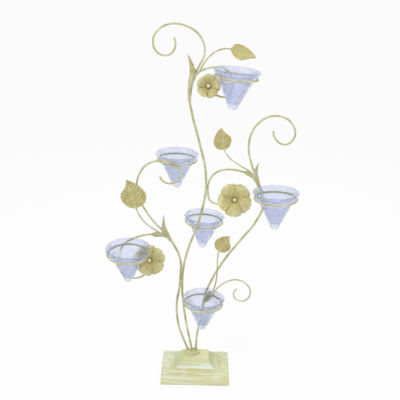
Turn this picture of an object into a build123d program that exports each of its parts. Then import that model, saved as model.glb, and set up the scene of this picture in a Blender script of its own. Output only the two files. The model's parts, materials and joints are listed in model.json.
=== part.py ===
from build123d import *
import os
from math import cos, pi, radians, sin, sqrt, tan

# Votive candle holder: a tree of bent round wires on a stepped cast base, with six conical
# glass cups that hang by their shoulders in welded wire rings.
# Millimetres. Z is up, the viewer stands on the -Y side, and the origin is the middle of the
# base's underside, on the surface that the holder stands on.

# Base casting
BASE_LENGTH = 129.0
BASE_DEPTH = 92.0
SOLE_THICKNESS = 1.5
SOLE_MARGIN = 1.5
BAND_TOP = 9.8
PLINTH_TOP = 16.0
PLINTH_TAPER = 2.3
LEDGE = 2.0
PLATEAU_HEIGHT = 38.0
PLATEAU_LENGTH = 48.0
PLATEAU_DEPTH = 35.0
HOLLOW_SAG = 6.0
HOLLOW_MIDDLE = 0.62
HOLLOW_INSET = 0.75
BASE_WALL = 4.5

# Collar that carries the three stems, and its bolt
COLLAR_X = -6.5
COLLAR_Y = 6.5
COLLAR_LENGTH = 30.0
COLLAR_DEPTH = 21.0
COLLAR_HEIGHT = 4.4
COLLAR_EDGE = 1.6
FOOT_DEPTH = 3.4
SPIGOT_RADIUS = 6.0
SPIGOT_LENGTH = BASE_WALL - 0.5
SPIGOT_CLEARANCE = 0.2
BOLT_RADIUS = 3.0
BOLT_CLEARANCE = 0.05
BORE_END = 0.2
BOLT_END = 0.3
BOLT_HEAD_ACROSS = 10.0
BOLT_HEAD_HEIGHT = 4.0
WASHER_RADIUS = 6.8
WASHER_THICKNESS = 1.6

# Wire radii
STEM_RADIUS = 2.0
SCROLL_RADIUS = 1.6
LOW_TENDRIL_RADIUS = 1.3
LEAF_STEM_RADIUS = 1.2
RING_WIRE_RADIUS = 1.5
BRAZE_GAP = 0.1
TOUCH_GAP = 0.7

# Cup rings and the beads that weld them on
RING_RADIUS = 34.25
STEM_STANDOFF = 2.6
SMALL_BEAD_RADIUS = 2.45
LARGE_BEAD_RADIUS = 3.4
BEAD_SEAM_RISE = 1.7

# Glass cups, measured from the plane of the ring
RIM_HEIGHT = 11.7
RIM_RADIUS = 37.5
RIM_BEAD_RADIUS = 1.6
NECK_RADIUS = 34.0
NECK_TOP = 4.7
CONE_TOP_RADIUS = 28.2
CONE_HALF_ANGLE = 25.1
CONE_TIP_RADIUS = 7.6
GLASS_WALL = 2.5
GLASS_FLOOR = 12.0
CUP_CLEARANCE = 0.3

# Sheet-metal leaves, flowers and sheaths
LEAF_THICKNESS = 1.0
LEAF_BEND_RADIUS = 120.0
LEAF_LAP = 7.0
RIB_WIDTH = 1.6
RIB_END_WIDTH = 0.4
RIB_LENGTH_SHARE = 0.9
RIB_HEIGHT = 0.6
PETAL_THICKNESS = 0.9
FLOWER_DEPTH = 5.2
FLOWER_FUNNEL_RADIUS = 10.0
PETAL_VALLEY = 0.74
BEAD_BALL_RADIUS = 3.25
BEAD_HEIGHT = 6.2
SHANK_RADIUS = 1.25
SHANK_LENGTH = 5.0
SHANK_CLEARANCE = 0.1
SHEATH_WALL = 0.8

# The way from the holder to the viewer, which leaves and flowers face
VIEWER = Vector(-0.05, -0.94, 0.34)


def arc_or_line(start, tangent, end):
    """An arc that leaves start along tangent and reaches end, or a line where it is straight."""
    if (end - start).get_angle(tangent) < 0.05:
        return Line(start, end)
    return TangentArc(start, end, tangent=tangent)


def reflected(tangent, chord):
    """The tangent at the other end of one arc over this chord."""
    along = chord.normalized()
    return (along * (2 * tangent.dot(along)) - tangent).normalized()


def tangents(points, first=None):
    """Directions of a smooth wire at its points: at each inner point that of the circle
    through it and its two neighbours."""
    found = []
    for before, here, after in zip(points, points[1:], points[2:]):
        back = here - before
        ahead = after - here
        found.append((back * (1 / back.dot(back)) + ahead * (1 / ahead.dot(ahead))).normalized())
    start = first or reflected(found[0], points[1] - points[0])
    return [start, *found, reflected(found[-1], points[-1] - points[-2])]


def bent_path(points, first=None):
    """A path of tangent arcs, two from each point to the next."""
    directions = tangents(points, first)
    edges = []
    for p0, p1, t0, t1 in zip(points, points[1:], directions, directions[1:]):
        chord = p1 - p0
        both = t0 + t1
        spread = 2 * (1 - t0.dot(t1))
        if spread < 1e-6:
            reach = chord.dot(chord) / (4 * chord.dot(t1))
        else:
            slope = chord.dot(both)
            reach = (sqrt(slope ** 2 + spread * chord.dot(chord)) - slope) / spread
        near = p0 + t0 * reach
        far = p1 - t1 * reach
        joint = (near + far) * 0.5
        edges.append(arc_or_line(p0, t0, joint))
        edges.append(arc_or_line(joint, (far - near).normalized(), p1))
    return Wire(edges)


def round_wire(name, path, radius):
    """A round wire along a path. Its volume is compared with its section times its length."""
    start = Plane(origin=path.position_at(0), z_dir=path.tangent_at(0))
    solid = sweep(start * Circle(radius), path=path)
    share = solid.volume / (pi * radius ** 2 * path.length)
    tightest = min((e.radius for e in path.edges() if e.geom_type == GeomType.CIRCLE), default=0)
    print(f"{name}: length {path.length:.0f}, tightest radius {tightest:.1f}, volume share {share:.4f}")
    return solid


def from_point(origin, steps):
    """The points that lie at these steps from an origin."""
    return [origin + Vector(*step) for step in steps]


# Stems: the steps from each foot to the points that its wire runs through
FOOT_Z = PLATEAU_HEIGHT + COLLAR_HEIGHT - FOOT_DEPTH
STEM_FEET = {
    "stem_centre": Vector(COLLAR_X + 1.0, COLLAR_Y + 0.5, FOOT_Z),
    "stem_left": Vector(COLLAR_X - 7.0, COLLAR_Y + 3.0, FOOT_Z),
    "stem_right": Vector(COLLAR_X + 7.0, COLLAR_Y + 5.5, FOOT_Z),
}
STEM_STEPS = {
    "stem_centre": [
        (-6, -1, 27), (-17, -1, 88), (-22, -1, 151), (-18, -1, 194), (-8, -1, 231), (2, -1, 258),
        (11, -4, 294), (17, -5, 329), (16, -7, 369), (4, -12, 421), (-9, -16, 470), (-14, -16, 497),
        (-12, -15, 520),
    ],
    "stem_left": [
        (-7, -1, 19), (-19, -1, 54), (-24, -3, 95), (-18, -4, 155), (-19, -9, 204), (-30, -14, 231),
        (-41, -18, 249),
    ],
    "stem_right": [
        (2, -3, 41), (9, -6, 84), (13, -8, 113), (16, -9, 131), (27, -8, 159), (48, -20, 205),
        (75, -36, 252), (96, -49, 288), (107, -58, 323), (102, -60, 349), (95, -59, 368),
    ],
}
CENTRE_TIE_POINT = 3
LEFT_TIE_POINT = 4
CENTRE_RING_POINT = 6
CENTRE_TOUCH_POINT = 8
RIGHT_BRANCH_POINT = 3
RIGHT_LOW_RING_POINT = 4
RIGHT_HIGH_RING_POINT = 10

points = {}
directions = {}
paths = {}
wires = {}
wire_radius = {}


def add_wire(name, wire_points, radius, first=None):
    """Bend one wire and keep its points, directions and solid."""
    points[name] = wire_points
    directions[name] = tangents(wire_points, first)
    paths[name] = bent_path(wire_points, first)
    wire_radius[name] = radius
    wires[name] = round_wire(name, paths[name], radius)


for stem, steps in STEM_STEPS.items():
    add_wire(stem, [STEM_FEET[stem], *from_point(STEM_FEET[stem], steps)], STEM_RADIUS)

# Branches: where each starts, which way it lies beside its neighbours there, and its steps
junctions = {
    "top": (points["stem_centre"][-1], directions["stem_centre"][-1], Vector(1, -0.3, 0)),
    "left": (points["stem_left"][-1], directions["stem_left"][-1], Vector(-1, -0.4, 0)),
    "right": (points["stem_right"][-1], directions["stem_right"][-1], Vector(-1, 0.5, 0)),
    "low": (
        points["stem_right"][RIGHT_BRANCH_POINT],
        directions["stem_right"][RIGHT_BRANCH_POINT],
        Vector(1, 0.3, 0),
    ),
}
touch_angle = radians(20)
touch_reach = STEM_RADIUS + SCROLL_RADIUS + TOUCH_GAP
touch_point = points["stem_centre"][CENTRE_TOUCH_POINT] + Vector(
    touch_reach * cos(touch_angle), touch_reach * sin(touch_angle), 0
)
touch_step = tuple(touch_point - junctions["right"][0])

ABREAST = 1.22 * SCROLL_RADIUS
BESIDE_LEFT = (-ABREAST, 0)
BESIDE_BACK = (ABREAST / 2, ABREAST * sqrt(3) / 2)
BESIDE_FRONT = (ABREAST / 2, -ABREAST * sqrt(3) / 2)
BRANCHES = {
    "tendril_top": ("top", SCROLL_RADIUS, BESIDE_LEFT, [
        (12, 1, 25), (22, 4, 52), (12, 6, 76), (-9, 8, 89), (-30, 8, 92), (-50, 8, 85),
        (-62, 8, 65), (-54, 8, 46), (-35, 8, 44), (-26, 8, 57), (-28, 8, 70),
    ]),
    "leaf_stem_top": ("top", LEAF_STEM_RADIUS, BESIDE_BACK, [
        (13, 2, 18), (29, 5, 42), (41, 7, 51), (64, 10, 54), (70, 10, 51),
    ]),
    "scroll_top": ("top", SCROLL_RADIUS, BESIDE_FRONT, [
        (14, -4, 19), (31, -6, 26), (54, -6, 24.5), (61.5, -5.4, 18.5), (66, -5, 11),
        (68, -5, -6), (59, -5, -20), (44, -4, -19), (29, -2, -5),
    ]),
    "tendril_left": ("left", SCROLL_RADIUS, BESIDE_LEFT, [
        (-14, -1, 16), (-35, -2, 43), (-50, -2, 73), (-50, -3, 111), (-33, -5, 134),
        (-10, -5, 140), (16, -5, 131), (21, -5, 110), (6, -6, 100), (-13, -6, 112),
    ]),
    "leaf_stem_left": ("left", LEAF_STEM_RADIUS, BESIDE_FRONT, [
        (-17, -2, 9), (-38, -6, 26), (-54, -10, 55), (-56, -10, 62),
    ]),
    "scroll_left": ("left", SCROLL_RADIUS, BESIDE_BACK, [
        (-16, -5, 4), (-33, -12, 7), (-54, -22, 5), (-72, -32, -2.5), (-83, -30, -28),
        (-83, -30, -52), (-71, -28, -68), (-53, -25, -72), (-36, -22, -63), (-29, -19, -37),
    ]),
    "tendril_right": ("right", SCROLL_RADIUS, BESIDE_LEFT, [
        (-9, 4, 24), (-16, 6, 54), (-13, 8, 76), (-4, 9, 92), (24, 9, 107), (53, 9, 94),
        (58, 9, 73), (44, 9, 60), (29, 9, 67), (23, 9, 82),
    ]),
    "leaf_stem_right": ("right", LEAF_STEM_RADIUS, BESIDE_BACK, [
        (-11, 3, 13), (-27, 8, 22), (-46, 14, 34), (-55, 17, 47), (-56, 17, 54),
    ]),
    "scroll_right": ("right", SCROLL_RADIUS, BESIDE_FRONT, [
        (-10, 6, 8), (-26, 12, 12), (-45, 21, 12), (-67, 37, 1), (-78.5, 48, -19), touch_step,
        (-76, 46, -53), (-64, 41, -57), (-46, 39, -54), (-32, 37, -47),
    ]),
    "tendril_low": ("low", LOW_TENDRIL_RADIUS, (STEM_RADIUS + LOW_TENDRIL_RADIUS + BRAZE_GAP, 0), [
        (13, 0, 9), (20, -1, 23), (32, -2, 36), (44, -2, 44), (58, -2, 47), (70, -2, 44),
        (80, -2, 36), (86, -2, 22), (82, -2, 9), (73, -2, 3), (64, -2, 4), (57, -2, 10),
        (55, -2, 18), (61, -2, 28),
    ]),
    "leaf_stem_low": ("low", LEAF_STEM_RADIUS, (0, STEM_RADIUS + LEAF_STEM_RADIUS + BRAZE_GAP), [
        (17, 3, 23), (23, 1, 58), (23, -1, 85), (25.5, -3, 104.5), (28.8, -3.5, 110),
    ]),
}
for branch, (junction, radius, beside, steps) in BRANCHES.items():
    origin, along, toward = junctions[junction]
    side = (toward - along * toward.dot(along)).normalized()
    start = origin + side * beside[0] + along.cross(side) * beside[1]
    add_wire(branch, [start, *from_point(origin, steps)], radius, first=along)

# Cups: the wire and point that carry each ring, the ring's direction from there, how far it
# leans to the right and to the front, and the standoff from the wire
CUPS = {
    "top": ("scroll_top", 4, -74.0, (4.5, 2.0), BRAZE_GAP),
    "upper": ("tendril_left", 7, 92.0, (1.0, 2.5), BRAZE_GAP),
    "right": ("stem_right", RIGHT_HIGH_RING_POINT, -58.2, (-1.3, 0.0), STEM_STANDOFF),
    "middle": ("stem_centre", CENTRE_RING_POINT, 70.0, (2.2, 1.0), STEM_STANDOFF),
    "left": ("scroll_left", 4, -74.7, (0.5, 4.5), BRAZE_GAP),
    "low": ("stem_right", RIGHT_LOW_RING_POINT, -96.0, (1.7, -1.0), STEM_STANDOFF),
}


def bead_plane(middle, across):
    """Where a weld bead sits: its poles on the line across, its seam between the two wires."""
    level = across.cross(Vector(0, 0, 1)).normalized()
    upward = level.cross(across).normalized()
    return Plane(origin=middle, x_dir=level + upward * BEAD_SEAM_RISE, z_dir=across)


def place_ring(carrier, index, azimuth, lean, standoff):
    """The plane of a ring that stands off the carrying wire, and its weld bead."""
    to_right, to_front = radians(lean[0]), radians(lean[1])
    axis = Vector(sin(to_right) * cos(to_front), -sin(to_front), cos(to_right) * cos(to_front))
    heading = Vector(cos(radians(azimuth)), sin(radians(azimuth)), 0)
    inward = (heading - axis * heading.dot(axis)).normalized()
    crossing = axis.cross(inward).cross(directions[carrier][index])
    reach = wire_radius[carrier] + standoff + RING_WIRE_RADIUS
    offset = reach * crossing.length / abs(inward.dot(crossing))
    weld = points[carrier][index]
    centre = weld + inward * (RING_RADIUS + offset)
    middle = weld + inward * ((wire_radius[carrier] + offset - RING_WIRE_RADIUS) / 2)
    return Plane(origin=centre, x_dir=inward, z_dir=axis), bead_plane(middle, inward)


def base_profile(length, plateau, wall):
    """Half section of the stepped base, inset by a wall all round."""
    half = length / 2
    foot = half - PLINTH_TAPER - LEDGE
    top = plateau / 2
    inset = HOLLOW_INSET * wall
    middle_x = foot + (top - foot) * HOLLOW_MIDDLE
    middle_z = PLINTH_TOP + (PLATEAU_HEIGHT - PLINTH_TOP) * HOLLOW_MIDDLE - HOLLOW_SAG
    edge = [
        Line((0, SOLE_THICKNESS), (half - wall, SOLE_THICKNESS)),
        Line((half - wall, SOLE_THICKNESS), (half - wall, BAND_TOP - wall / 2)),
        Line((half - wall, BAND_TOP - wall / 2), (half - PLINTH_TAPER - wall, PLINTH_TOP - wall)),
        Line((half - PLINTH_TAPER - wall, PLINTH_TOP - wall), (foot - inset, PLINTH_TOP - wall)),
        ThreePointArc(
            (foot - inset, PLINTH_TOP - wall),
            (middle_x - inset, middle_z - wall),
            (top - inset, PLATEAU_HEIGHT - wall),
        ),
        Line((top - inset, PLATEAU_HEIGHT - wall), (0, PLATEAU_HEIGHT - wall)),
        Line((0, PLATEAU_HEIGHT - wall), (0, SOLE_THICKNESS)),
    ]
    half_face = make_face(edge)
    return half_face + mirror(half_face, about=Plane.YZ)


def base_block(wall):
    """The base with its faces moved in by a wall: where two swept sections meet."""
    along_y = extrude(Plane.XZ * base_profile(BASE_LENGTH, PLATEAU_LENGTH, wall), BASE_DEPTH, both=True)
    along_x = extrude(Plane.YZ * base_profile(BASE_DEPTH, PLATEAU_DEPTH, wall), BASE_LENGTH, both=True)
    return along_y & along_x


def base_casting():
    """Hollow casting with the hole for the collar's spigot."""
    hole = Pos(COLLAR_X, COLLAR_Y, PLATEAU_HEIGHT) * Cylinder(
        SPIGOT_RADIUS + SPIGOT_CLEARANCE, 4 * BASE_WALL
    )
    return base_block(0) - base_block(BASE_WALL) - hole


def felt_sole():
    """Thin sole under the rim of the base."""
    return extrude(
        Rectangle(BASE_LENGTH - 2 * SOLE_MARGIN, BASE_DEPTH - 2 * SOLE_MARGIN), SOLE_THICKNESS
    )


def stem_collar():
    """Oval plate with a spigot below, a hole for the bolt and a blind hole for each stem."""
    plate = extrude(Ellipse(COLLAR_LENGTH / 2, COLLAR_DEPTH / 2), COLLAR_HEIGHT)
    plate = fillet(plate.edges().group_by(Axis.Z)[-1], COLLAR_EDGE)
    spigot = extrude(Circle(SPIGOT_RADIUS), -SPIGOT_LENGTH)
    bore = extrude(Circle(BOLT_RADIUS + BOLT_CLEARANCE), SPIGOT_LENGTH - BORE_END)
    body = plate + spigot - Pos(0, 0, -SPIGOT_LENGTH) * bore
    collar = Pos(COLLAR_X, COLLAR_Y, PLATEAU_HEIGHT) * body
    for stem in STEM_STEPS:
        collar = collar - wires[stem]
    return collar


def collar_bolt():
    """Hexagon-head bolt that holds the collar down from inside the base."""
    seat = PLATEAU_HEIGHT - BASE_WALL - WASHER_THICKNESS
    head = extrude(RegularPolygon(BOLT_HEAD_ACROSS / 2, 6, major_radius=False), -BOLT_HEAD_HEIGHT)
    shank = extrude(Circle(BOLT_RADIUS), PLATEAU_HEIGHT - BOLT_END - seat)
    return Pos(COLLAR_X, COLLAR_Y, seat) * (head + shank)


def bolt_washer():
    """Plain washer between the bolt's head and the casting."""
    face = Circle(WASHER_RADIUS) - Circle(BOLT_RADIUS + 2 * BOLT_CLEARANCE)
    return Pos(COLLAR_X, COLLAR_Y, PLATEAU_HEIGHT - BASE_WALL) * extrude(face, -WASHER_THICKNESS)


def glass_cup():
    """Conical votive glass about its axis, with its shoulder just clear of the ring."""
    slope = tan(radians(CONE_HALF_ANGLE))
    shoulder_drop = RING_RADIUS - sqrt(2) * (RING_WIRE_RADIUS + CUP_CLEARANCE)
    cone_top = (CONE_TOP_RADIUS, CONE_TOP_RADIUS - shoulder_drop)
    neck_low = (NECK_RADIUS, NECK_RADIUS - shoulder_drop)
    apex = cone_top[1] - CONE_TOP_RADIUS / slope
    ball_z = apex + CONE_TIP_RADIUS / sin(radians(CONE_HALF_ANGLE))
    tip = ball_z - CONE_TIP_RADIUS
    ease = (
        CONE_TIP_RADIUS * cos(radians(CONE_HALF_ANGLE)),
        ball_z - CONE_TIP_RADIUS * sin(radians(CONE_HALF_ANGLE)),
    )
    middle = radians(CONE_HALF_ANGLE + 90) / 2
    tip_middle = (CONE_TIP_RADIUS * sin(middle), ball_z - CONE_TIP_RADIUS * cos(middle))
    bead_r, bead_z = RIM_RADIUS - RIM_BEAD_RADIUS, RIM_HEIGHT - RIM_BEAD_RADIUS
    floor_z = tip + GLASS_FLOOR
    across = GLASS_WALL / cos(radians(CONE_HALF_ANGLE))
    floor_r = (floor_z - apex) * slope - across
    inside_top = CONE_TOP_RADIUS - GLASS_WALL
    inside_cone = (inside_top, apex + (inside_top + across) / slope)
    lip = (bead_r - RIM_BEAD_RADIUS, bead_z)
    inside_neck = (NECK_RADIUS - GLASS_WALL, neck_low[1] + GLASS_WALL / 2)
    outline = [
        ThreePointArc((0, tip), tip_middle, ease),
        Line(ease, cone_top),
        Line(cone_top, neck_low),
        Line(neck_low, (NECK_RADIUS, NECK_TOP)),
        Line((NECK_RADIUS, NECK_TOP), (bead_r, bead_z - RIM_BEAD_RADIUS)),
        ThreePointArc(
            (bead_r, bead_z - RIM_BEAD_RADIUS), (RIM_RADIUS, bead_z), (bead_r, RIM_HEIGHT)
        ),
        TangentArc((bead_r, RIM_HEIGHT), lip, tangent=(-1, 0)),
        Line(lip, inside_neck),
        Line(inside_neck, inside_cone),
        Line(inside_cone, (floor_r, floor_z)),
        Line((floor_r, floor_z), (0, floor_z)),
        Line((0, floor_z), (0, tip)),
    ]
    return revolve(Plane.XZ * make_face(outline), Axis.Z)


# Leaves: outline of one half and of the other as shares of the length, from base to tip, and
# each leaf's length, the side of its fuller half and how far its face turns up
LEAF_OUTER = [(0.045, 0.22), (0.19, 0.37), (0.42, 0.415), (0.69, 0.307), (0.876, 0.155)]
LEAF_INNER = [
    (0.058, -0.139), (0.156, -0.244), (0.376, -0.334), (0.575, -0.295), (0.697, -0.16), (0.84, -0.05),
]
LEAVES = {
    "left": (57.0, -1, 0.0),
    "top": (45.0, 1, 40.0),
    "right": (39.0, 1, 0.0),
    "low": (39.0, 1, 0.0),
}


def leaf(side, length, hand, turned_up):
    """Pressed leaf on the front of its wire's end, gently bent towards the viewer."""
    wire_points = points["leaf_stem_" + side]
    forward = (wire_points[-1] - wire_points[-2]).normalized()
    facing = (VIEWER - forward * VIEWER.dot(forward)).normalized()
    facing = facing * cos(radians(turned_up)) + facing.cross(forward) * sin(radians(turned_up))
    outer = [(0, 0), *[(u * length, v * length * hand) for u, v in LEAF_OUTER], (length, 0)]
    inner = [(0, 0), *[(u * length, v * length * hand) for u, v in LEAF_INNER], (length, 0)]
    outline = make_face([Spline(*outer), Spline(*inner)])
    blade = extrude(outline, length / 2)
    bend = Pos(LEAF_LAP / 2, 0, LEAF_BEND_RADIUS) * Rot(90, 0, 0)
    shell = bend * (
        Cylinder(LEAF_BEND_RADIUS, 2 * length)
        - Cylinder(LEAF_BEND_RADIUS - LEAF_THICKNESS, 2 * length)
    )
    rib_shell = bend * (
        Cylinder(LEAF_BEND_RADIUS - LEAF_THICKNESS, 2 * length)
        - Cylinder(LEAF_BEND_RADIUS - LEAF_THICKNESS - RIB_HEIGHT, 2 * length)
    )
    rib_end = length * RIB_LENGTH_SHARE
    rib_outline = make_face(Polyline(
        (LEAF_LAP / 2, -RIB_WIDTH / 2),
        (rib_end, -RIB_END_WIDTH / 2),
        (rib_end, RIB_END_WIDTH / 2),
        (LEAF_LAP / 2, RIB_WIDTH / 2),
        (LEAF_LAP / 2, -RIB_WIDTH / 2),
    ))
    rib = extrude(rib_outline, length / 2) & rib_shell
    solid = (blade & shell) + rib
    base = wire_points[-1] - forward * LEAF_LAP + facing * (LEAF_STEM_RADIUS + BRAZE_GAP)
    return Plane(origin=base, x_dir=forward, z_dir=facing) * solid - wires["leaf_stem_" + side]


# Flowers: radius over the petals and the turn of the first petal
FLOWERS = {
    "right": (30.0, 48.0),
    "left": (28.0, 29.0),
    "top": (20.0, 8.0),
}
PETALS = 5


def corolla(radius, turn):
    """Five-petal pressed flower, dished, with a hole for the bead's shank."""
    hole = SHANK_RADIUS + SHANK_CLEARANCE
    middle = (FLOWER_FUNNEL_RADIUS + radius) / 2
    lower = [
        ThreePointArc(
            (hole, 0),
            (FLOWER_FUNNEL_RADIUS / 2, FLOWER_DEPTH * 0.75),
            (FLOWER_FUNNEL_RADIUS, FLOWER_DEPTH),
        ),
        ThreePointArc(
            (FLOWER_FUNNEL_RADIUS, FLOWER_DEPTH), (middle, FLOWER_DEPTH + 1.0), (radius, FLOWER_DEPTH)
        ),
    ]
    upper = [Pos(0, PETAL_THICKNESS) * edge for edge in lower]
    ends = [
        Line((hole, 0), (hole, PETAL_THICKNESS)),
        Line((radius, FLOWER_DEPTH), (radius, FLOWER_DEPTH + PETAL_THICKNESS)),
    ]
    dish = revolve(Plane.XZ * make_face([*lower, *upper, *ends]), Axis.Z)
    half_step = 180 / PETALS
    rim = []
    for petal in range(PETALS):
        angle = turn + petal * 2 * half_step
        left = Vector(radius * PETAL_VALLEY, 0, 0).rotate(Axis.Z, angle - half_step)
        tip = Vector(radius, 0, 0).rotate(Axis.Z, angle)
        right = Vector(radius * PETAL_VALLEY, 0, 0).rotate(Axis.Z, angle + half_step)
        rim.append(ThreePointArc(left, tip, right))
    return dish & extrude(make_face(rim), 3 * FLOWER_DEPTH)


def flower_plane(side):
    """Where a flower sits: in front of the inner end of its scroll, facing the viewer."""
    path = paths["scroll_" + side]
    carrier = path.position_at(path.length - SCROLL_RADIUS, position_mode=PositionMode.LENGTH)
    facing = VIEWER.normalized()
    across = Vector(1, 0, 0) - facing * facing.X
    origin = carrier + facing * (SCROLL_RADIUS + SHANK_LENGTH)
    return Plane(origin=origin, x_dir=across, z_dir=facing)


def flower_bead(side):
    """Ball in the flower's throat, on a shank that is brazed to the scroll."""
    length = SHANK_LENGTH + SCROLL_RADIUS + BEAD_HEIGHT
    shank = Pos(0, 0, BEAD_HEIGHT - length) * extrude(Circle(SHANK_RADIUS), length)
    ball = Pos(0, 0, BEAD_HEIGHT) * Sphere(BEAD_BALL_RADIUS)
    return flower_plane(side) * (shank + ball) - wires["scroll_" + side]


# Sheaths: the stem of each, how far it reaches back along it, its radii at its foot, below the
# mouth and at the mouth, its prong's length and lean, the branches inside and the sleeved one
SHEATHS = {
    "top": ("stem_centre", 30.0, (2.7, 4.2, 5.4), 48.0, Vector(-0.22, -0.1, 0.97),
            ("tendril_top", "leaf_stem_top", "scroll_top"), None),
    "left": ("stem_left", 12.0, (2.7, 3.6, 4.6), 37.0, Vector(-0.22, -0.06, 0.97),
             ("tendril_left", "leaf_stem_left", "scroll_left"), "scroll_left"),
    "right": ("stem_right", 10.0, (2.7, 3.6, 4.6), 34.0, Vector(0.12, -0.02, 0.99),
              ("tendril_right", "leaf_stem_right", "scroll_right"), "scroll_right"),
}
PRONG_BEND = 0.45
PRONG_BEND_WIDTH = 0.9
PRONG_TIP_RADIUS = 0.9
PRONG_TIP_WALL = 0.36
MOUTH_OVERLAP = 0.02
CUT_RISE = 2.0
CUT_END = 0.8
CUT_LEAN = 4.0
SLEEVE_START = 0.5
SLEEVE_LENGTH = 22.0
SLEEVE_RADII = (2.4, 2.9, 3.3)
LOW_SLEEVE_LENGTH = 15.0
LOW_SLEEVE_RADII = (2.6, 3.2, 4.0)


def circle_at(centre, normal, radius):
    """A round section square to a direction."""
    return Plane(origin=centre, z_dir=normal, x_dir=normal.cross(Vector(0, 1, 0))) * Circle(radius)


def sleeve(path, first, length, radii):
    """A widening tube round a stretch of wire, before the wires are taken out of it."""
    sections = []
    for share, radius in zip((0, 0.5, 1), radii):
        place = first + length * share
        centre = path.position_at(place, position_mode=PositionMode.LENGTH)
        normal = path.tangent_at(place, position_mode=PositionMode.LENGTH)
        sections.append(circle_at(centre, normal, radius))
    return loft(sections)


def sheath(stem, back, radii, prong, lean, inside, sleeved):
    """Wrapped sheet that closes round the stem and opens into a mouth with one long prong."""
    path = paths[stem]
    end = path.position_at(1)
    along = path.tangent_at(1)
    lean = lean.normalized()
    grip = sleeve(path, path.length - back, back, radii)
    mouth = radii[-1]
    bend = (along + lean).normalized()
    bend_radius = mouth * PRONG_BEND_WIDTH
    bend_place = end + bend * (prong * PRONG_BEND)
    tip_place = end + lean * prong
    outer = loft([
        circle_at(end, along, mouth),
        circle_at(bend_place, bend, bend_radius),
        circle_at(tip_place, lean, PRONG_TIP_RADIUS),
    ])
    inner = loft([
        circle_at(end - along * MOUTH_OVERLAP, along, mouth - SHEATH_WALL),
        circle_at(bend_place, bend, bend_radius - SHEATH_WALL),
        circle_at(tip_place, lean, PRONG_TIP_RADIUS - PRONG_TIP_WALL),
    ])
    away = Vector(0, -1, 0) + (along - lean) * CUT_LEAN
    away = (away - along * away.dot(along)).normalized()
    cut_low = end + along * CUT_RISE + away * mouth
    cut_high = end + lean * (prong * CUT_END) - away * (mouth / 2)
    rise = (cut_high - cut_low).normalized()
    level = away.cross(along).normalized()
    normal = rise.cross(level).normalized()
    if normal.dot(away) < 0:
        normal = normal * -1
    block = Pos(0, 0, prong) * Box(4 * prong, 4 * prong, 2 * prong)
    knife = Plane(origin=cut_low, x_dir=rise, z_dir=normal) * block
    solid = grip + (outer - inner - knife)
    if sleeved:
        solid = solid + sleeve(paths[sleeved], SLEEVE_START, SLEEVE_LENGTH, SLEEVE_RADII)
    for wire in (stem, *inside):
        solid = solid - wires[wire]
    return solid


def low_sheath():
    """Short sleeve where the low tendril and its leaf stem leave the right stem."""
    solid = sleeve(paths["tendril_low"], SLEEVE_START, LOW_SLEEVE_LENGTH, LOW_SLEEVE_RADII)
    for wire in ("stem_right", "tendril_low", "leaf_stem_low"):
        solid = solid - wires[wire]
    return solid


def weld_beads(ring_beads, rings):
    """Lumps of braze at each ring, at the tie of two stems and where a scroll meets a stem."""
    tie_left = points["stem_left"][LEFT_TIE_POINT]
    tie_centre = points["stem_centre"][CENTRE_TIE_POINT]
    touched = points["stem_centre"][CENTRE_TOUCH_POINT]
    beads = [place * Sphere(size) for place, size in ring_beads]
    for one, other in ((tie_left, tie_centre), (touch_point, touched)):
        place = bead_plane((one + other) * 0.5, other - one)
        beads.append(place * Sphere(LARGE_BEAD_RADIUS))
    kept = []
    for bead in beads:
        for wire in [*wires.values(), *rings]:
            if wire.distance_to(bead) < BRAZE_GAP:
                bead = bead - wire
        print(f"weld bead: volume {bead.volume:.0f}, solids {len(bead.solids())}")
        kept += bead.solids()
    return Compound(children=kept)


nodes = {}
nodes["base_casting"] = base_casting()
nodes["felt_sole"] = felt_sole()
nodes["stem_collar"] = stem_collar()
nodes["collar_bolt"] = collar_bolt()
nodes["bolt_washer"] = bolt_washer()
nodes.update(wires)
ring_beads = []
for cup, (carrier, index, azimuth, lean, standoff) in CUPS.items():
    plane, bead_place = place_ring(carrier, index, azimuth, lean, standoff)
    nodes["ring_" + cup] = plane * Torus(RING_RADIUS, RING_WIRE_RADIUS)
    nodes["cup_" + cup] = plane * glass_cup()
    bead_size = LARGE_BEAD_RADIUS if standoff == STEM_STANDOFF else SMALL_BEAD_RADIUS
    ring_beads.append((bead_place, bead_size))
    centre, axis = plane.origin, plane.z_dir
    print(f"ring_{cup}: centre {centre.X:.2f} {centre.Y:.2f} {centre.Z:.2f}")
    print(f"ring_{cup}: axis {axis.X:.4f} {axis.Y:.4f} {axis.Z:.4f}")
for side, (length, hand, turned_up) in LEAVES.items():
    nodes["leaf_" + side] = leaf(side, length, hand, turned_up)
for side, (radius, turn) in FLOWERS.items():
    nodes["flower_" + side] = flower_plane(side) * corolla(radius, turn)
    nodes["flower_bead_" + side] = flower_bead(side)
for side, settings in SHEATHS.items():
    nodes["sheath_" + side] = sheath(*settings)
nodes["sheath_low"] = low_sheath()
nodes["weld_beads"] = weld_beads(ring_beads, [nodes["ring_" + cup] for cup in CUPS])

os.makedirs("parts", exist_ok=True)
for name, shape in nodes.items():
    export_step(shape, f"parts/{name}.step")
    print(f"{name}: {len(shape.solids())} solids, volume {shape.volume / 1000:.2f} cm3")
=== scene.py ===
import json
from math import cos, exp, pi, radians, sin, sqrt

import bpy
from mathutils import Matrix, Vector


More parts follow.
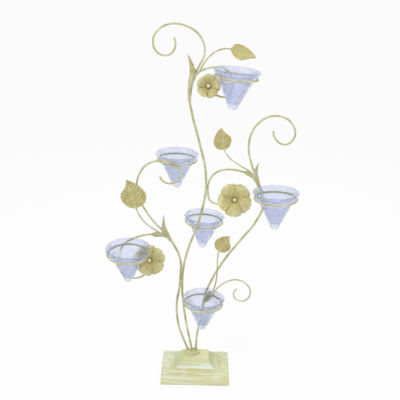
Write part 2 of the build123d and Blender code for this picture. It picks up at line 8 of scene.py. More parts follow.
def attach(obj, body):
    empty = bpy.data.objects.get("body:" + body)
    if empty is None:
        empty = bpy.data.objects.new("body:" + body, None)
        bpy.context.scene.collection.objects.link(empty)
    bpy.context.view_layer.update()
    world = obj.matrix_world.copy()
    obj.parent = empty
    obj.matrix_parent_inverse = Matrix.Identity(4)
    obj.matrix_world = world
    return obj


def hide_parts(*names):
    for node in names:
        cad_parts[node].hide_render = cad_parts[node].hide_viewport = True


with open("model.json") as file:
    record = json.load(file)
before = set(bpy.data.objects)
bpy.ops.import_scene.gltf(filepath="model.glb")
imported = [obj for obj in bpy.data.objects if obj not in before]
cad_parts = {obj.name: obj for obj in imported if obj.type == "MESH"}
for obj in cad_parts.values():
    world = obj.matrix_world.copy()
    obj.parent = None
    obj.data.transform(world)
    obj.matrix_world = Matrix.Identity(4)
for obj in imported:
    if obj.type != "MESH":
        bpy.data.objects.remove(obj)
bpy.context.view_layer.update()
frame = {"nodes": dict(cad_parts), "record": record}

# Places and lengths are in metres, angles in degrees, the lens and its sensor in millimetres
CAMERA_PLACE = (0.002, -0.9935, 0.706)
CAMERA_PITCH = 19.5
CAMERA_ROLL = 1.3
CAMERA_LENS = 54.0
CAMERA_NEAR = 0.01
SENSOR_WIDTH = 36.0
FLOOR_HALF_SIZE = 60.0
FLOOR_DROP = 0.0002
FLOOR_GREY = 0.93
FLOOR_GLOW = 0.90
WORLD_LIGHT = 0.66
WORLD_SEEN = 1.0
# Each softbox: its place, what it points at, its size and its power in watts
SOFTBOXES = {
    "key": ((-0.9, -1.1, 1.7), (0.0, 0.0, 0.3), 0.9, 11.0),
    "fill": ((1.2, -0.8, 0.9), (0.0, 0.0, 0.3), 0.8, 2.0),
    "back": ((0.3, 1.2, 1.4), (0.0, 0.0, 0.4), 0.7, 4.0),
}
STAND = "stand"
MILLIMETRE = 0.001


# Materials

class Paint:
    """A material under construction, with short ways to add and join its nodes."""

    def __init__(self, name):
        self.material = bpy.data.materials.new(name)
        self.material.use_nodes = True
        self.nodes = self.material.node_tree.nodes
        self.links = self.material.node_tree.links
        self.nodes.clear()
        self.output = self.nodes.new("ShaderNodeOutputMaterial")
        self.shader = self.nodes.new("ShaderNodeBsdfPrincipled")
        self.join(self.shader.outputs[0], self.output.inputs["Surface"])
        self.place = self.nodes.new("ShaderNodeTexCoord").outputs["Object"]

    def join(self, source, target):
        self.links.new(source, target)

    def scaled(self, scale):
        """The object's coordinates, stretched by a scale for each axis."""
        node = self.nodes.new("ShaderNodeMapping")
        node.inputs["Scale"].default_value = scale
        self.join(self.place, node.inputs["Vector"])
        return node.outputs[0]

    def noise(self, scale, detail=3.0, roughness=0.5, distortion=0.0, where=None):
        node = self.nodes.new("ShaderNodeTexNoise")
        node.inputs["Scale"].default_value = scale
        node.inputs["Detail"].default_value = detail
        node.inputs["Roughness"].default_value = roughness
        node.inputs["Distortion"].default_value = distortion
        self.join(where or self.place, node.inputs["Vector"])
        return node.outputs["Fac"]

    def ramp(self, factor, *stops):
        """A colour ramp over (position, colour) stops."""
        node = self.nodes.new("ShaderNodeValToRGB")
        elements = node.color_ramp.elements
        while len(elements) < len(stops):
            elements.new(0.5)
        for element, (position, colour) in zip(elements, stops):
            element.position = position
            element.color = (*colour, 1.0)
        self.join(factor, node.inputs[0])
        return node.outputs[0]

    def mix(self, factor, one, other, kind="MIX"):
        node = self.nodes.new("ShaderNodeMix")
        node.data_type = "RGBA"
        node.blend_type = kind
        for source, target in ((factor, 0), (one, 6), (other, 7)):
            if hasattr(source, "links"):
                self.join(source, node.inputs[target])
            else:
                node.inputs[target].default_value = source
        return node.outputs[2]

    def span(self, factor, low, high, from_low=0.0, from_high=1.0):
        """A number moved from one range to another, and held within it."""
        node = self.nodes.new("ShaderNodeMapRange")
        self.join(factor, node.inputs["Value"])
        node.inputs["From Min"].default_value = from_low
        node.inputs["From Max"].default_value = from_high
        node.inputs["To Min"].default_value = low
        node.inputs["To Max"].default_value = high
        return node.outputs["Result"]

    def maths(self, kind, one, other=0.0):
        node = self.nodes.new("ShaderNodeMath")
        node.operation = kind
        for source, target in ((one, 0), (other, 1)):
            if hasattr(source, "links"):
                self.join(source, node.inputs[target])
            else:
                node.inputs[target].default_value = source
        return node.outputs[0]

    def attribute(self, name):
        node = self.nodes.new("ShaderNodeAttribute")
        node.attribute_name = name
        return node.outputs["Fac"]

    def bump(self, height, strength, distance):
        node = self.nodes.new("ShaderNodeBump")
        node.inputs["Strength"].default_value = strength
        node.inputs["Distance"].default_value = distance
        self.join(height, node.inputs["Height"])
        self.join(node.outputs[0], self.shader.inputs["Normal"])

    def finish(self, colour=None, roughness=None, **constants):
        if colour is not None:
            self.join(colour, self.shader.inputs["Base Color"])
        if roughness is not None:
            self.join(roughness, self.shader.inputs["Roughness"])
        for name, value in constants.items():
            self.shader.inputs[name.replace("_", " ")].default_value = value
        return self.material


# The share of the light that goes straight through the glass, with no bending
GLASS_BODY_SHARE = 0.56
BASE_HEIGHT = 0.038
PALE_CREAM = (0.76, 0.75, 0.52)
CREAM = (0.62, 0.61, 0.35)
PALE_GOLD = (0.52, 0.50, 0.21)
GOLD = (0.40, 0.37, 0.12)


def wire_paint():
    """Cream paint over gold, thinner in patches, with a fine brushed grain."""
    paint = Paint("cream_gold_paint")
    patches = paint.noise(48.0, detail=4.0, roughness=0.6, distortion=0.4)
    colour = paint.ramp(patches, (0.30, GOLD), (0.42, PALE_GOLD), (0.54, CREAM), (0.68, PALE_CREAM))
    speck = paint.noise(900.0, detail=2.0)
    worn = paint.ramp(speck, (0.33, (0.84, 0.82, 0.74)), (0.50, (1.0, 1.0, 1.0)))
    colour = paint.mix(0.35, colour, worn, "MULTIPLY")
    # Darker where the sheaths ask: antiqued tips, and painted shade in the valleys between their ribs
    colour = paint.mix(paint.span(paint.attribute("fold"), 0.0, 0.8), colour, (0.34, 0.30, 0.14, 1.0))
    rough = paint.span(paint.noise(240.0), 0.30, 0.52)
    paint.bump(paint.noise(650.0, detail=4.0), 0.3, 0.0003)
    return paint.finish(colour, rough, Metallic=0.1, Coat_Weight=0.12, Coat_Roughness=0.25)


def base_paint():
    """Pale yellow paint dry-brushed with white, along each face, with painted shade that turns the
    faces looking sideways a darker grey-green.
    """
    paint = Paint("brushed_base_paint")
    brush = {"detail": 5.0, "roughness": 0.58, "distortion": 0.3}
    along_x = paint.noise(1.0, where=paint.scaled((11, 150, 330)), **brush)
    along_y = paint.noise(1.0, where=paint.scaled((220, 13, 240)), **brush)
    normal = paint.nodes.new("ShaderNodeSeparateXYZ")
    geometry = paint.nodes.new("ShaderNodeNewGeometry")
    paint.join(geometry.outputs["Normal"], normal.inputs[0])
    sideways = paint.span(paint.maths("ABSOLUTE", normal.outputs["X"]), 0.0, 1.0, 0.25, 0.6)
    streak = paint.mix(sideways, along_x, along_y)
    front = paint.ramp(
        streak,
        (0.32, (0.58, 0.58, 0.28)),
        (0.42, (0.67, 0.67, 0.36)),
        (0.52, (0.74, 0.76, 0.50)),
        (0.62, (0.86, 0.90, 0.80)),
    )
    # Painted shade: a darker, greener copy of the front colours for the faces that look sideways
    side = paint.ramp(
        streak,
        (0.32, (0.49, 0.53, 0.25)),
        (0.44, (0.54, 0.58, 0.29)),
        (0.56, (0.61, 0.65, 0.39)),
        (0.68, (0.74, 0.78, 0.62)),
    )
    colour = paint.mix(sideways, front, side)
    golden = paint.noise(24.0, detail=3.0, distortion=0.6)
    colour = paint.mix(paint.span(golden, 0.0, 0.5, 0.50, 0.66), colour, (0.72, 0.70, 0.27, 1.0))
    white = paint.noise(19.0, detail=4.0, roughness=0.6, distortion=0.9)
    colour = paint.mix(paint.span(white, 0.0, 0.5, 0.50, 0.68), colour, (0.87, 0.90, 0.82, 1.0))
    height = paint.nodes.new("ShaderNodeSeparateXYZ")
    paint.join(paint.place, height.inputs[0])
    level = paint.maths("MULTIPLY", height.outputs["Z"], 1 / BASE_HEIGHT)
    edges = paint.ramp(
        paint.maths("ADD", level, paint.span(golden, -0.02, 0.02)),
        (0.04, (0.7, 0.7, 0.7)),
        (0.10, (0.0, 0.0, 0.0)),
        (0.22, (0.0, 0.0, 0.0)),
        (0.27, (0.8, 0.8, 0.8)),
        (0.32, (0.0, 0.0, 0.0)),
        (0.90, (0.0, 0.0, 0.0)),
        (0.97, (0.45, 0.45, 0.45)),
    )
    colour = paint.mix(edges, colour, (0.74, 0.72, 0.25, 1.0))
    rough = paint.span(streak, 0.62, 0.42)
    paint.bump(streak, 0.3, 0.0005)
    return paint.finish(colour, rough, Coat_Weight=0.08, Coat_Roughness=0.35)


def leaf_gold():
    """Antique gold in patches of khaki, brown and green, with painted highlights on the raised ribs
    and painted shade in the folds and throats.
    """
    paint = Paint("antique_gold_paint")
    patches = paint.noise(85.0, detail=4.0, roughness=0.6, distortion=0.8)
    colour = paint.ramp(
        patches,
        (0.28, (0.42, 0.35, 0.13)),
        (0.40, (0.54, 0.48, 0.17)),
        (0.50, (0.62, 0.57, 0.22)),
        (0.60, (0.66, 0.62, 0.26)),
        (0.74, (0.76, 0.73, 0.42)),
    )
    blush = paint.noise(130.0, detail=2.0, distortion=0.5)
    colour = paint.mix(paint.span(blush, 0.0, 0.42, 0.52, 0.68), colour, (0.56, 0.44, 0.34, 1.0))
    # Painted highlights on the raised ribs and veins, and towards the petals' ends
    colour = paint.mix(paint.span(paint.attribute("rib"), 0.0, 0.7), colour, (0.84, 0.80, 0.50, 1.0))
    # Painted shade in the leaves' folds, the flowers' throats and along the petals' sides
    colour = paint.mix(paint.span(paint.attribute("fold"), 0.0, 0.8), colour, (0.42, 0.33, 0.08, 1.0))
    grain = paint.noise(700.0, detail=4.0)
    worn = paint.ramp(grain, (0.35, (0.84, 0.82, 0.74)), (0.6, (1.0, 1.0, 1.0)))
    colour = paint.mix(0.5, colour, worn, "MULTIPLY")
    rough = paint.span(paint.noise(300.0), 0.30, 0.5)
    paint.bump(grain, 0.35, 0.0003)
    return paint.finish(colour, rough, Metallic=0.2, Coat_Weight=0.2, Coat_Roughness=0.2)


def bead_paint():
    """Glossy cream paint on the balls."""
    paint = Paint("cream_bead_paint")
    colour = paint.ramp(paint.noise(320.0), (0.35, (0.74, 0.70, 0.46)), (0.65, (0.90, 0.88, 0.72)))
    paint.bump(paint.noise(500.0), 0.15, 0.0002)
    return paint.finish(colour, Roughness=0.22, Coat_Weight=0.5, Coat_Roughness=0.08)


def tinted_glass():
    """Pressed glass with a lavender tint and slow waves in its surface."""
    paint = Paint("lavender_glass")
    waves = paint.noise(95.0, detail=1.0, roughness=0.3, distortion=2.2)
    paint.bump(waves, 0.5, 0.0015)
    tint = paint.ramp(paint.noise(30.0), (0.3, (0.70, 0.76, 0.90)), (0.7, (0.80, 0.83, 0.95)))
    body = paint.nodes.new("ShaderNodeBsdfTransparent")
    body.inputs["Color"].default_value = (0.84, 0.86, 0.94, 1.0)
    blend = paint.nodes.new("ShaderNodeMixShader")
    blend.inputs[0].default_value = GLASS_BODY_SHARE
    paint.join(paint.shader.outputs[0], blend.inputs[1])
    paint.join(body.outputs[0], blend.inputs[2])
    paint.join(blend.outputs[0], paint.output.inputs["Surface"])
    return paint.finish(tint, Roughness=0.06, IOR=1.45, Transmission_Weight=1.0)


def felt():
    """Dark green felt with a short nap."""
    paint = Paint("green_felt")
    fibre = paint.noise(1800.0, detail=3.0)
    colour = paint.ramp(fibre, (0.3, (0.02, 0.05, 0.02)), (0.7, (0.06, 0.12, 0.06)))
    paint.bump(fibre, 0.8, 0.0004)
    return paint.finish(colour, Roughness=0.95, Sheen_Weight=0.4)


def zinc_steel():
    """Bright zinc plate with fine turning marks."""
    paint = Paint("zinc_plate")
    marks = paint.noise(600.0, detail=4.0, where=paint.scaled((1, 1, 12)))
    colour = paint.ramp(marks, (0.3, (0.45, 0.46, 0.48)), (0.7, (0.68, 0.69, 0.71)))
    paint.bump(marks, 0.2, 0.0001)
    return paint.finish(colour, paint.span(marks, 0.28, 0.42), Metallic=1.0)


MATERIALS = {
    "wire_paint": wire_paint(),
    "base_paint": base_paint(),
    "leaf_gold": leaf_gold(),
    "bead_paint": bead_paint(),
    "tinted_glass": tinted_glass(),
    "felt": felt(),
    "zinc_steel": zinc_steel(),
}


def dress(piece, slot):
    """Give a piece the one material of its slot."""
    piece.data.materials.clear()
    piece.data.materials.append(MATERIALS[slot])


for part in frame["record"]["subparts"]:
    dress(frame["nodes"][part["node"]], part["material_slot"])


# Pressed leaves, flowers and wrapped sheaths

def new_piece(name, vertices, faces, slot, body, node, shading, thickness):
    """A sheet-metal piece that replaces a node, rides on its body and takes its slot. The
    shading names values for each vertex that its paint reads."""
    mesh = bpy.data.meshes.new(name)
    mesh.from_pydata([tuple(v) for v in vertices], [], faces)
    for attribute, values in shading.items():
        layer = mesh.attributes.new(attribute, "FLOAT", "POINT")
        layer.data.foreach_set("value", values)
    for polygon in mesh.polygons:
        polygon.use_smooth = True
    piece = bpy.data.objects.new(name, mesh)
    bpy.context.collection.objects.link(piece)
    shell = piece.modifiers.new("thickness", "SOLIDIFY")
    shell.thickness = thickness
    shell.offset = -1.0
    dress(piece, slot)
    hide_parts(node)
    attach(piece, body)
    return piece


def grid_faces(start, rows, columns):
    """Four-sided faces over a grid of vertices that are numbered row by row from start."""
    stride = columns + 1
    corners = [start + row * stride + column for row in range(rows) for column in range(columns)]
    return [(first, first + 1, first + stride + 1, first + stride) for first in corners]


def smooth_curve(stops, at):
    """The height at a place on the smooth curve through these (place, height) stops."""
    for index in range(len(stops) - 1):
        if at <= stops[index + 1][0]:
            break
    (x0, y0), (x1, y1) = stops[index], stops[index + 1]
    before = stops[max(index - 1, 0)]
    after = stops[min(index + 2, len(stops) - 1)]
    slope0 = (y1 - before[1]) / (x1 - before[0])
    slope1 = (after[1] - y0) / (after[0] - x0)
    span = x1 - x0
    t = (at - x0) / span
    return (
        y0 * (1 + 2 * t) * (1 - t) ** 2 + slope0 * span * t * (1 - t) ** 2
        + y1 * t * t * (3 - 2 * t) + slope1 * span * t * t * (t - 1)
    )


# Each leaf: its base, the way it points, the way it faces, its length, and the side that its
# fuller half lies on. The outlines are shares of the length.
LEAF_OUTER = [
    (0.0, 0.0), (0.045, 0.22), (0.19, 0.37), (0.42, 0.415),
    (0.69, 0.307), (0.876, 0.155), (1.0, 0.0),
]
LEAF_INNER = [
    (0.0, 0.0), (0.058, 0.139), (0.156, 0.244), (0.376, 0.334),
    (0.575, 0.295), (0.697, 0.16), (0.84, 0.05), (1.0, 0.0),
]
LEAVES = {
    "left": (
        (-0.10852, -0.0198, 0.34329), (-0.2747, 0.0, 0.9615), (0.0463, -0.9988, 0.0132), 0.057, -1,
    ),
    "top": (
        (0.04672, 0.00129, 0.6141), (0.8944, 0.0, -0.4472), (0.3351, -0.6525, 0.6703), 0.043, 1,
    ),
    "right": (
        (0.04049, -0.0313, 0.45407), (-0.1414, 0.0, 0.9899), (-0.0015, -1.0, -0.0002), 0.039, 1,
    ),
    "low": (
        (0.0384, -0.00022, 0.25609), (0.5129, -0.0777, 0.8549), (-0.2372, -0.97, 0.0541), 0.039, 1,
    ),
}
LEAF_BEND_RADIUS = 0.120
LEAF_THICKNESS = 0.0009
LEAF_LAP = 0.007
LEAF_ROWS = 90
LEAF_COLUMNS = 40
LEAF_DISH = 0.12
LEAF_DISH_SPAN = 0.5
TEETH = 11
TOOTH = 0.03
# Veins and folds are placed and measured in steps from one vein to the next, the midrib in
# shares of the leaf's length
VEINS = 6
VEIN_SLANT = 0.9
VEIN_WIDTH = 0.10
VEIN_HEIGHT = 0.0009
FIRST_VEIN = 0.5
LAST_VEIN = VEINS + 0.6
MIDRIB_CLEAR = 0.04
MIDRIB_WIDTH = 0.025
MIDRIB_FADE = 0.6
MIDRIB_HEIGHT = 0.0012
FOLD_PLACE = 0.30
FOLD_WIDTH = 0.12
FOLD_DEPTH = 0.0005
# Strength of the painted highlights on the veins and midrib, and of the painted shade in the folds
VEIN_HIGHLIGHT = 0.8
MIDRIB_HIGHLIGHT = 0.7
FOLD_SHADE = 0.5


def leaf_piece(side):
    """Pressed leaf with a raised midrib and slanting raised veins."""
    base, forward, facing, length, hand = LEAVES[side]
    base, forward, facing = Vector(base), Vector(forward).normalized(), Vector(facing).normalized()
    across = facing.cross(forward)
    vertices, painted_highlights, painted_shade_and_antique = [], [], []
    for row in range(LEAF_ROWS + 1):
        u = row / LEAF_ROWS
        for column in range(LEAF_COLUMNS + 1):
            s = 2 * column / LEAF_COLUMNS - 1
            stops = LEAF_OUTER if s > 0 else LEAF_INNER
            width = max(smooth_curve(stops, u), 0.0) * length
            v = s * width * (1 + TOOTH * sin(u * 2 * pi * TEETH) * sin(pi * u))
            distance = abs(v)
            phase = (u - VEIN_SLANT * distance / length) * (VEINS + 1)
            nearness = abs(phase - round(phase))
            off_rib = min(1.0, distance / (MIDRIB_CLEAR * length))
            vein = exp(-(nearness / VEIN_WIDTH) ** 2) * off_rib
            if not FIRST_VEIN < phase < LAST_VEIN:
                vein = 0.0
            midrib = exp(-(distance / (MIDRIB_WIDTH * length)) ** 2) * (1 - MIDRIB_FADE * u)
            fold = off_rib * exp(-((nearness - FOLD_PLACE) / FOLD_WIDTH) ** 2)
            height = (u * length - LEAF_LAP / 2) ** 2 / (2 * LEAF_BEND_RADIUS) + LEAF_THICKNESS
            height += LEAF_DISH * distance * (1 - distance / (LEAF_DISH_SPAN * length))
            height += VEIN_HEIGHT * vein + MIDRIB_HEIGHT * midrib - FOLD_DEPTH * fold
            vertices.append(base + forward * (u * length) + across * (v * hand) + facing * height)
            # Painted highlights on the veins and midrib, painted shade in the folds between the veins
            painted_highlights.append(max(vein * VEIN_HIGHLIGHT, midrib * MIDRIB_HIGHLIGHT))
            painted_shade_and_antique.append(fold * FOLD_SHADE)
    faces = grid_faces(0, LEAF_ROWS, LEAF_COLUMNS)
    if hand > 0:
        faces = [face[::-1] for face in faces]
    shading = {"rib": painted_highlights, "fold": painted_shade_and_antique}
    new_piece(
        f"pressed_leaf_{side}", vertices, faces, "leaf_gold", STAND, f"leaf_{side}", shading,
        LEAF_THICKNESS,
    )


# Each flower: its middle, its radius and the turn of its first petal
FLOWER_ACROSS = (0.9988, -0.047, 0.017)
FLOWER_FACING = (-0.05, -0.9392, 0.3397)
FLOWERS = {
    "right": ((0.06185, -0.01599, 0.36136), 0.030, 48.0),
    "left": ((-0.08354, -0.03378, 0.25167), 0.028, 29.0),
    "top": ((0.01187, -0.01635, 0.55481), 0.020, 8.0),
}
PETALS = 5
PETAL_ROWS = 40
PETAL_COLUMNS = 40
PETAL_THICKNESS = 0.0008
FLOWER_HOLE = 0.0015
FUNNEL_RADIUS = 0.010
FLOWER_DEPTH = 0.0052
# Half width of a petal at shares of its length, in flower radii
PETAL_OUTLINE = [
    (0.0, 0.07), (0.15, 0.19), (0.35, 0.35), (0.54, 0.46),
    (0.67, 0.49), (0.80, 0.46), (0.91, 0.36), (1.0, 0.15),
]
# The end of a petal: a notch in its middle, round corners and small waves
NOTCH_DEPTH = 0.07
NOTCH_WIDTH = 0.25
CORNER_DROP = 0.05
WAVE_DEPTH = 0.015
WAVE_RATE = 9
# Fanned ribs, and where along the petal they rise and fade
PETAL_RIBS = 3.5
PETAL_RIB_WIDTH = 0.16
PETAL_RIB_HEIGHT = 0.0008
PETAL_RIB_RISE = 2.5
PETAL_RIB_FADE = 0.6
# The petal's swell, the lift of its one edge over the next petal, its crown and its turned-down end
SWELL_HEIGHT = 0.0012
OVERLAP_LIFT = 0.0014
OVERLAP_RISE = 1.6
CROWN_HEIGHT = 0.0020
CROWN_RATE = 2.6
CURL_START = 0.80
CURL_SLOPE = 0.0060
# Strength of the painted highlights on the ribs and the petal's end, reach of the painted shade in
# the throat, and its fade along the petal's sides
PETAL_RIB_HIGHLIGHT = 0.5
PETAL_END_HIGHLIGHT = 0.6
THROAT_SHADE_RADIUS = 0.42
EDGE_SHADE_FADE = 0.4


def flower_piece(side):
    """Five pressed petals that overlap one over the next, with fanned ribs and waved ends."""
    origin, radius, turn = FLOWERS[side]
    origin = Vector(origin)
    facing = Vector(FLOWER_FACING).normalized()
    across = Vector(FLOWER_ACROSS).normalized()
    upward = facing.cross(across)
    vertices, painted_highlights, painted_shade_and_antique, faces = [], [], [], []
    for petal in range(PETALS):
        middle = radians(turn + petal * 360 / PETALS)
        start = len(vertices)
        for row in range(PETAL_ROWS + 1):
            t = row / PETAL_ROWS
            half = smooth_curve(PETAL_OUTLINE, t) * radius
            for column in range(PETAL_COLUMNS + 1):
                s = 2 * column / PETAL_COLUMNS - 1
                notch = NOTCH_DEPTH * exp(-(s / NOTCH_WIDTH) ** 2) + CORNER_DROP * s * s
                notch += WAVE_DEPTH * cos(WAVE_RATE * s + 2 * petal)
                reach = FLOWER_HOLE + (radius - FLOWER_HOLE) * t * (1 - notch * t ** 4)
                sideways = s * half
                r = sqrt(reach ** 2 + sideways ** 2)
                beyond = min(max((r - FUNNEL_RADIUS) / (radius - FUNNEL_RADIUS), 0.0), 1.0)
                fan = abs(s * PETAL_RIBS - round(s * PETAL_RIBS))
                rib = exp(-(fan / PETAL_RIB_WIDTH) ** 2) * min(1.0, PETAL_RIB_RISE * t)
                rib *= 1 - PETAL_RIB_FADE * t ** 6
                height = FLOWER_DEPTH * sin(min(r / FUNNEL_RADIUS, 1.0) * pi / 2) + PETAL_THICKNESS
                height += SWELL_HEIGHT * sin(pi * beyond) + PETAL_RIB_HEIGHT * rib
                lift = s * OVERLAP_LIFT * min(1.0, OVERLAP_RISE * t)
                height += lift + CROWN_HEIGHT * cos(CROWN_RATE * s) * t * t
                height -= CURL_SLOPE * max(0.0, t - CURL_START)
                x = cos(middle) * reach - sin(middle) * sideways
                y = sin(middle) * reach + cos(middle) * sideways
                vertices.append(origin + across * x + upward * y + facing * height)
                # Painted highlights on the ribs and towards the petal's end; painted shade in the
                # throat round the bead and along the petal's two sides
                painted_highlights.append(rib * PETAL_RIB_HIGHLIGHT + PETAL_END_HIGHLIGHT * t ** 3)
                throat = exp(-(r / (THROAT_SHADE_RADIUS * radius)) ** 2)
                painted_shade_and_antique.append(max(throat, abs(s) ** 5 * (1 - EDGE_SHADE_FADE * t)))
        quads = grid_faces(start, PETAL_ROWS, PETAL_COLUMNS)
        faces += [(a, d, c, b) for a, b, c, d in quads]
    shading = {"rib": painted_highlights, "fold": painted_shade_and_antique}
    new_piece(
        f"pressed_flower_{side}", vertices, faces, "leaf_gold", STAND, f"flower_{side}", shading,
        PETAL_THICKNESS,
    )


# Each sheath: the side that it opens to, and its wrapped sheets. A sheet runs through stations,
# each with its place and radius in millimetres and the angle in degrees that the sheet covers
# on either side of its back.
SHEATHS = {
    "top": ((0.75, 0.65, 0.0), [
        [
            (-19.2, -9.0, 530.0, 2.6, 180), (-18.8, -8.8, 545.0, 3.5, 180),
            (-17.4, -8.2, 559.0, 4.6, 180),
            (-14.8, -7.8, 570.0, 5.3, 140), (-14.2, -7.6, 579.0, 5.2, 105),
            (-15.8, -7.4, 588.0, 4.1, 95),
            (-18.8, -7.2, 596.0, 2.4, 90), (-22.6, -7.0, 604.5, 0.5, 80),
        ],
    ]),
    "left": ((-0.75, 0.6, -0.3), [
        [
            (-47.6, -6.4, 277.0, 2.6, 180), (-51.3, -7.6, 283.0, 3.3, 180),
            (-55.2, -8.8, 290.0, 4.1, 170),
            (-59.4, -9.8, 298.0, 4.8, 125), (-61.8, -10.2, 305.5, 4.2, 100),
            (-62.0, -10.2, 314.0, 2.7, 90),
            (-60.8, -10.0, 328.0, 0.5, 80),
        ],
        [
            (-54.0, -8.2, 286.6, 2.5, 180), (-62.0, -10.8, 290.2, 3.0, 170),
            (-70.0, -13.4, 292.2, 3.6, 130),
            (-77.0, -16.4, 293.6, 3.5, 95), (-82.0, -18.8, 294.6, 1.6, 70),
        ],
    ]),
    "right": ((-0.75, 0.65, 0.1), [
        [
            (99.3, -48.2, 397.5, 2.6, 180), (97.4, -47.6, 402.0, 3.3, 180),
            (95.0, -46.9, 408.0, 4.2, 170),
            (92.2, -46.4, 414.5, 5.0, 125), (91.6, -46.6, 421.5, 4.2, 100),
            (93.0, -47.2, 429.0, 2.7, 90),
            (96.2, -48.0, 438.0, 0.5, 80),
        ],
        [
            (95.2, -46.6, 406.8, 2.5, 180), (90.2, -43.8, 411.8, 3.0, 170),
            (85.3, -41.0, 415.1, 3.4, 130),
            (79.5, -38.6, 417.2, 3.2, 95), (75.0, -37.0, 418.2, 1.5, 70),
        ],
    ]),
    "low": ((0.2, 0.7, 0.7), [
        [
            (15.8, 4.5, 150.5, 2.3, 180), (20.0, 4.4, 155.0, 3.1, 170),
            (25.0, 4.2, 160.5, 4.0, 125),
            (29.5, 3.6, 165.0, 3.6, 95), (35.0, 2.6, 168.5, 0.8, 80),
        ],
        [
            (16.2, 5.5, 152.0, 2.2, 160), (19.0, 5.4, 158.0, 2.8, 120),
            (22.5, 5.0, 166.0, 2.6, 95),
            (23.5, 4.0, 174.0, 0.5, 80),
        ],
    ]),
}
SHEATH_ROWS = 60
SHEATH_COLUMNS = 36
SHEATH_THICKNESS = 0.0006
SHEATH_TEETH = 9
SHEATH_TOOTH = 0.16
SHEATH_RIBS = 7
SHEATH_RIB_HEIGHT = 0.12
SHEATH_RIB_FULL_RADIUS = 3
SHEATH_FLARE = 0.18
SHEATH_SLOPE_STEP = 0.02
# A sheet that covers less than this angle on each side has loose edges, fully so after the ease
SHEATH_CLOSED = 178
SHEATH_EASE = 40
# Strength of the painted highlights on the ribs and loose edges, of the antiqued darkening at the
# tips, and of the painted shade in the valleys
SHEATH_RIB_HIGHLIGHT = 0.4
SHEATH_EDGE_HIGHLIGHT = 0.4
SHEATH_TIP_SHADE = 0.55
SHEATH_VALLEY_SHADE = 0.3


def between(stations, share):
    """The station at a share of the way through a list of them, on a smooth curve."""
    at = share * (len(stations) - 1)
    index = min(int(at), len(stations) - 2)
    t = at - index
    p1, p2 = stations[index], stations[index + 1]
    p0 = stations[max(index - 1, 0)]
    p3 = stations[min(index + 2, len(stations) - 1)]
    return [
        b + 0.5 * t * (c - a + t * (2 * a - 5 * b + 4 * c - d + t * (3 * (b - c) + d - a)))
        for a, b, c, d in zip(p0, p1, p2, p3)
    ]


def sheath_piece(side):
    """Sheets wrapped round the wires, open towards the branches, with sawn edges and ribs."""
    opening, sheets = SHEATHS[side]
    opening = Vector(opening).normalized()
    vertices, painted_highlights, painted_shade_and_antique, faces = [], [], [], []
    for stations in sheets:
        start = len(vertices)
        for row in range(SHEATH_ROWS + 1):
            u = row / SHEATH_ROWS
            x, y, z, radius, cover = between(stations, u)
            ahead = Vector(between(stations, min(u + SHEATH_SLOPE_STEP, 1.0))[:3])
            behind = Vector(between(stations, max(u - SHEATH_SLOPE_STEP, 0.0))[:3])
            along = (ahead - behind).normalized()
            back = -(opening - along * opening.dot(along)).normalized()
            flank = along.cross(back)
            saw = abs((u * SHEATH_TEETH) % 1 - 0.5) * 2
            loose = min(1.0, max(0.0, (SHEATH_CLOSED - cover) / SHEATH_EASE))
            turn = radians(min(cover, 180.0)) * (1 - SHEATH_TOOTH * saw * loose)
            for column in range(SHEATH_COLUMNS + 1):
                s = 2 * column / SHEATH_COLUMNS - 1
                ridge = cos(pi * s * SHEATH_RIBS)
                rise = SHEATH_RIB_HEIGHT * ridge * min(1.0, radius / SHEATH_RIB_FULL_RADIUS)
                size = radius * (1 + SHEATH_FLARE * loose * s * s) + rise
                way = back * cos(turn * s) + flank * sin(turn * s)
                vertices.append((Vector((x, y, z)) + way * size) * MILLIMETRE)
                # Painted highlights on the ribs and loose edges; darker towards the antiqued tips,
                # with painted shade in the valleys between the ribs
                edge = SHEATH_EDGE_HIGHLIGHT * abs(s) ** 8 * loose
                painted_highlights.append(max(0.0, SHEATH_RIB_HIGHLIGHT * ridge) + edge)
                painted_shade_and_antique.append(SHEATH_TIP_SHADE * u ** 2 + max(0.0, -SHEATH_VALLEY_SHADE * ridge))
        faces += grid_faces(start, SHEATH_ROWS, SHEATH_COLUMNS)
    shading = {"rib": painted_highlights, "fold": painted_shade_and_antique}
    new_piece(
        f"wrapped_sheath_{side}", vertices, faces, "wire_paint", STAND, f"sheath_{side}", shading,
        SHEATH_THICKNESS,
    )


for side in LEAVES:
    leaf_piece(side)
for side in FLOWERS:
    flower_piece(side)
for side in SHEATHS:
    sheath_piece(side)


# Camera, light and floor

def add_camera():
    """The camera at the photograph's viewing angle."""
    data = bpy.data.cameras.new("camera")
    data.lens = CAMERA_LENS
    data.sensor_width = SENSOR_WIDTH
    data.sensor_fit = "HORIZONTAL"
    data.clip_start = CAMERA_NEAR
    camera = bpy.data.objects.new("camera", data)
    bpy.context.collection.objects.link(camera)
    tilt = Matrix.Rotation(radians(90 - CAMERA_PITCH), 4, "X")
    roll = Matrix.Rotation(radians(CAMERA_ROLL), 4, "Z")
    camera.matrix_world = Matrix.Translation(CAMERA_PLACE) @ tilt @ roll
    bpy.context.scene.camera = camera


def add_softbox(name, place, target, size, power):
    """A square area light that points at a target."""
    data = bpy.data.lights.new(name, "AREA")
    data.shape = "SQUARE"
    data.size = size
    data.energy = power
    lamp = bpy.data.objects.new(name, data)
    bpy.context.collection.objects.link(lamp)
    lamp.location = place
    lamp.rotation_euler = (Vector(target) - Vector(place)).to_track_quat("-Z", "Y").to_euler()


def seen_directly(nodes, links):
    """1 for rays from the camera, mirrors and glass, 0 for rays that light things."""
    path = nodes.new("ShaderNodeLightPath")
    total = path.outputs["Is Camera Ray"]
    for name in ("Is Glossy Ray", "Is Transmission Ray"):
        node = nodes.new("ShaderNodeMath")
        node.operation = "MAXIMUM"
        links.new(total, node.inputs[0])
        links.new(path.outputs[name], node.inputs[1])
        total = node.outputs[0]
    return total


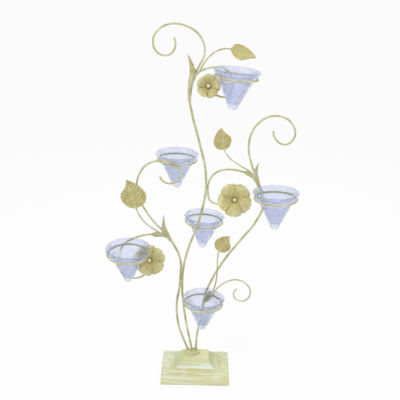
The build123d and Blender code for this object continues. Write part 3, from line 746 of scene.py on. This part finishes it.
def add_world():
    """White where it is seen, and a softer white where it lights the object."""
    world = bpy.data.worlds.new("studio")
    world.use_nodes = True
    nodes, links = world.node_tree.nodes, world.node_tree.links
    nodes.clear()
    background = nodes.new("ShaderNodeBackground")
    background.inputs["Color"].default_value = (1.0, 1.0, 1.0, 1.0)
    output = nodes.new("ShaderNodeOutputWorld")
    strength = nodes.new("ShaderNodeMapRange")
    strength.inputs["To Min"].default_value = WORLD_LIGHT
    strength.inputs["To Max"].default_value = WORLD_SEEN
    links.new(seen_directly(nodes, links), strength.inputs["Value"])
    links.new(strength.outputs[0], background.inputs["Strength"])
    links.new(background.outputs[0], output.inputs[0])
    bpy.context.scene.world = world


def add_floor():
    """A plain white floor that keeps the object's shadow."""
    size = FLOOR_HALF_SIZE
    mesh = bpy.data.meshes.new("floor")
    corners = [(-size, -size), (size, -size), (size, size), (-size, size)]
    mesh.from_pydata([(x, y, -FLOOR_DROP) for x, y in corners], [], [(0, 1, 2, 3)])
    floor = bpy.data.objects.new("floor", mesh)
    bpy.context.collection.objects.link(floor)
    material = bpy.data.materials.new("white_floor")
    material.use_nodes = True
    nodes, links = material.node_tree.nodes, material.node_tree.links
    nodes.clear()
    diffuse = nodes.new("ShaderNodeBsdfDiffuse")
    diffuse.inputs["Color"].default_value = (FLOOR_GREY, FLOOR_GREY, FLOOR_GREY, 1.0)
    glow = nodes.new("ShaderNodeEmission")
    blend = nodes.new("ShaderNodeMixShader")
    output = nodes.new("ShaderNodeOutputMaterial")
    share = nodes.new("ShaderNodeMath")
    share.operation = "MULTIPLY"
    share.inputs[1].default_value = FLOOR_GLOW
    links.new(seen_directly(nodes, links), share.inputs[0])
    links.new(share.outputs[0], blend.inputs[0])
    links.new(diffuse.outputs[0], blend.inputs[1])
    links.new(glow.outputs[0], blend.inputs[2])
    links.new(blend.outputs[0], output.inputs[0])
    mesh.materials.append(material)


add_camera()
add_world()
add_floor()
for name, (place, target, size, power) in SOFTBOXES.items():
    add_softbox(name, place, target, size, power)

bpy.context.scene.view_settings.view_transform = "Standard"
